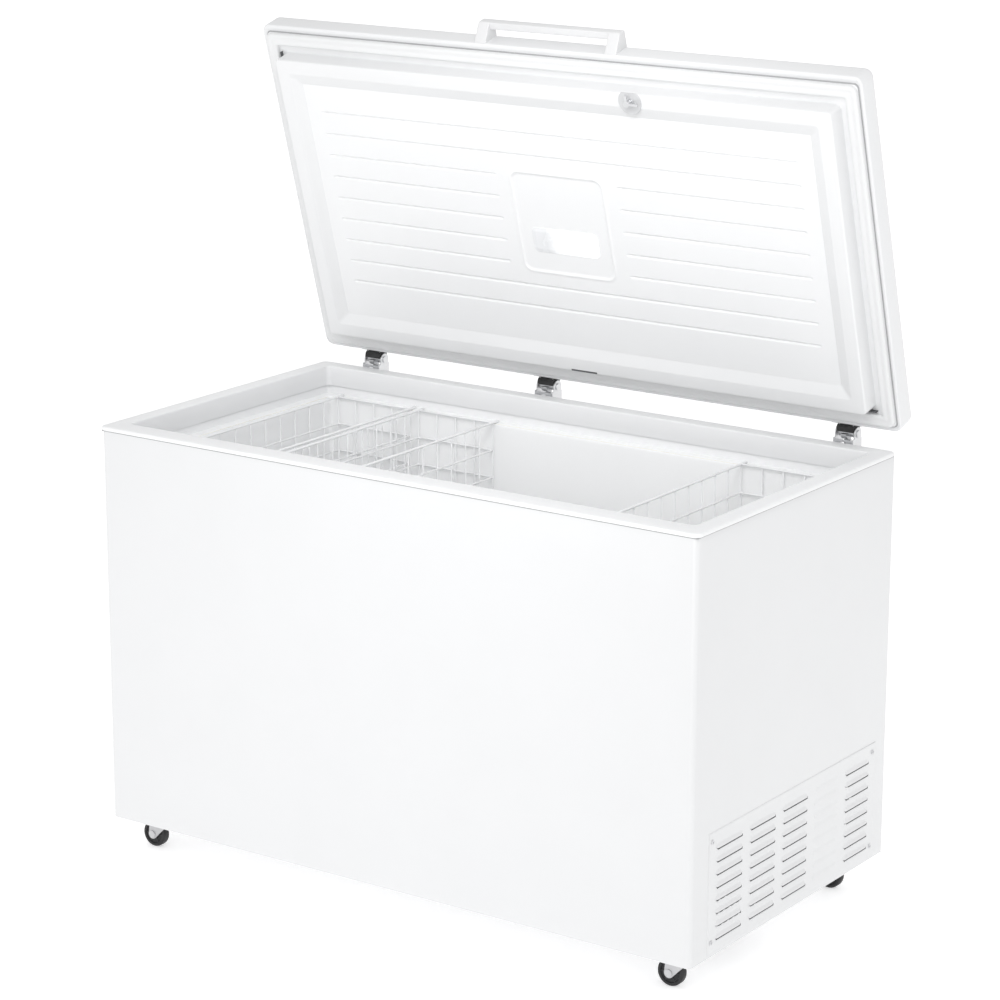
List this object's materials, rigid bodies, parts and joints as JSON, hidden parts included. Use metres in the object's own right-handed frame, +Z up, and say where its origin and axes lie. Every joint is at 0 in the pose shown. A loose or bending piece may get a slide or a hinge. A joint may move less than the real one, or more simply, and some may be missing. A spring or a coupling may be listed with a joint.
{
  "type": "chest freezer",
  "caption": "Wide white chest freezer on castors, its handled lid open on spring hinges over a lined tub with lift-out wire baskets and a louvred compressor bay.",
  "frame": {"origin": "on the floor under the castors, at the centre of the bounding box's base, lid open", "axes": "+Z up, the front with the handle faces -Y, +X towards the grille at the right-hand end"},
  "size_m": [1.267, 0.72, 1.5259],
  "materials": {
    "white_steel": "smooth white powder coat",
    "white_plastic": "satin white moulding",
    "liner_white": "smooth light grey-white coated sheet",
    "foam": "open rigid foam",
    "zinc": "bright zinc plate",
    "black_steel": "black enamel",
    "black_plastic": "matt black moulding",
    "black_rubber": "matt rubber",
    "white_rubber": "soft white vinyl seal",
    "copper": "drawn copper pipe",
    "steel_pipe": "grey steel pipe",
    "basket_wire": "white plastic dip coat",
    "lens": "frosted clear cover",
    "board": "white lacquered circuit board",
    "magnet": "flexible magnet strip"
  },
  "bodies": {
    "cabinet": {"outer_shell": "white_steel", "back_panel": "white_steel", "base_pan": "zinc", "bay_divider": "zinc", "body_foam": "foam", "inner_liner": "liner_white", "inner_rim": "white_plastic", "top_collar": "white_plastic", "side_grille": "white_plastic", "grille_screws": "zinc", "compressor": "black_steel", "compressor_feet": "black_rubber", "compressor_bolts": "zinc", "terminal_cover": "black_plastic", "filter_drier": "copper", "refrigerant_pipes": "copper", "condenser_coil": "steel_pipe", "evaporator_coil": "steel_pipe", "thermostat_body": "white_plastic", "cord_gland": "black_rubber", "drain_pipe": "white_plastic", "hinge_bracket_left": "zinc", "hinge_bracket_middle": "zinc", "hinge_bracket_right": "zinc", "hinge_pins": "zinc", "hinge_springs": "zinc", "bracket_screws": "zinc", "castor_plates": "zinc", "castor_screws": "zinc"},
    "lid": {"lid_tray": "white_steel", "lid_foam": "foam", "lid_lining": "white_plastic", "lid_gasket": "white_rubber", "gasket_magnets": "magnet", "lamp_lens": "lens", "lamp_board": "board", "lid_handle": "white_plastic", "handle_screws": "zinc", "hinge_leaf_left": "zinc", "hinge_leaf_middle": "zinc", "hinge_leaf_right": "zinc", "leaf_screws": "zinc", "hinge_covers": "black_plastic", "lock_housing": "white_plastic"},
    "lock": {"lock_barrel": "zinc", "lock_cam": "zinc"},
    "basket_left": {"basket_left": "basket_wire"},
    "basket_middle": {"basket_middle": "basket_wire"},
    "basket_right": {"basket_right": "basket_wire"},
    "castor_front_left": {"castor_fork_front_left": "zinc"},
    "castor_front_right": {"castor_fork_front_right": "zinc"},
    "castor_back_left": {"castor_fork_back_left": "zinc"},
    "castor_back_right": {"castor_fork_back_right": "zinc"},
    "wheel_front_left": {"castor_wheel_front_left": "black_plastic"},
    "wheel_front_right": {"castor_wheel_front_right": "black_plastic"},
    "wheel_back_left": {"castor_wheel_back_left": "black_plastic"},
    "wheel_back_right": {"castor_wheel_back_right": "black_plastic"},
    "plungers": {"hinge_plungers": "zinc"},
    "knob": {"thermostat_knob": "black_plastic"},
    "drain_plug": {"drain_plug": "black_rubber"}
  },
  "joints": [
    {"name": "lid_hinge", "type": "hinge", "parent": "cabinet", "child": "lid", "pos_m": [0, 0.322, 0.826], "axis": [-1, 0, 0], "range_deg": [-73.7, 6.3]},
    {"name": "plunger_slide", "type": "slide", "parent": "cabinet", "child": "plungers", "axis": [0, 0, 1], "range_m": [-0.0065, 0.0006], "deforming": ["hinge_springs"]},
    {"name": "lock_turn", "type": "hinge", "parent": "lid", "child": "lock", "pos_m": [0.192, 0.10767, 1.40929], "axis": [0, -0.9598, -0.2807], "range_deg": [0, 90]},
    {"name": "knob_turn", "type": "hinge", "parent": "cabinet", "child": "knob", "pos_m": [0.4375, 0.303, 0.231], "axis": [0, 1, 0], "range_deg": [-135, 135]},
    {"name": "plug_pull", "type": "slide", "parent": "cabinet", "child": "drain_plug", "axis": [0, 0, 1], "range_m": [0, 0.04]},
    {"name": "basket_left_lift", "type": "slide", "parent": "cabinet", "child": "basket_left", "axis": [0, 0, 1], "range_m": [0, 0.1]},
    {"name": "basket_middle_lift", "type": "slide", "parent": "cabinet", "child": "basket_middle", "axis": [0, 0, 1], "range_m": [0, 0.1]},
    {"name": "basket_right_lift", "type": "slide", "parent": "cabinet", "child": "basket_right", "axis": [0, 0, 1], "range_m": [0, 0.1]},
    {"name": "castor_front_left_swivel", "type": "hinge", "parent": "cabinet", "child": "castor_front_left", "pos_m": [-0.566, -0.295, 0], "axis": [0, 0, 1], "continuous": true},
    {"name": "wheel_front_left_spin", "type": "hinge", "parent": "castor_front_left", "child": "wheel_front_left", "pos_m": [-0.578, -0.295, 0.025], "axis": [0, 1, 0], "continuous": true},
    {"name": "castor_front_right_swivel", "type": "hinge", "parent": "cabinet", "child": "castor_front_right", "pos_m": [0.566, -0.295, 0], "axis": [0, 0, 1], "continuous": true},
    {"name": "wheel_front_right_spin", "type": "hinge", "parent": "castor_front_right", "child": "wheel_front_right", "pos_m": [0.554, -0.295, 0.025], "axis": [0, 1, 0], "continuous": true},
    {"name": "castor_back_left_swivel", "type": "hinge", "parent": "cabinet", "child": "castor_back_left", "pos_m": [-0.566, 0.245, 0], "axis": [0, 0, 1], "continuous": true},
    {"name": "wheel_back_left_spin", "type": "hinge", "parent": "castor_back_left", "child": "wheel_back_left", "pos_m": [-0.578, 0.245, 0.025], "axis": [0, 1, 0], "continuous": true},
    {"name": "castor_back_right_swivel", "type": "hinge", "parent": "cabinet", "child": "castor_back_right", "pos_m": [0.566, 0.245, 0], "axis": [0, 0, 1], "continuous": true},
    {"name": "wheel_back_right_spin", "type": "hinge", "parent": "castor_back_right", "child": "wheel_back_right", "pos_m": [0.554, 0.245, 0.025], "axis": [0, 1, 0], "continuous": true}
  ],
  "couplings": [
    {"joint": "plunger_slide", "follows": "lid_hinge", "m_per_rad": 0.005002}
  ]
}
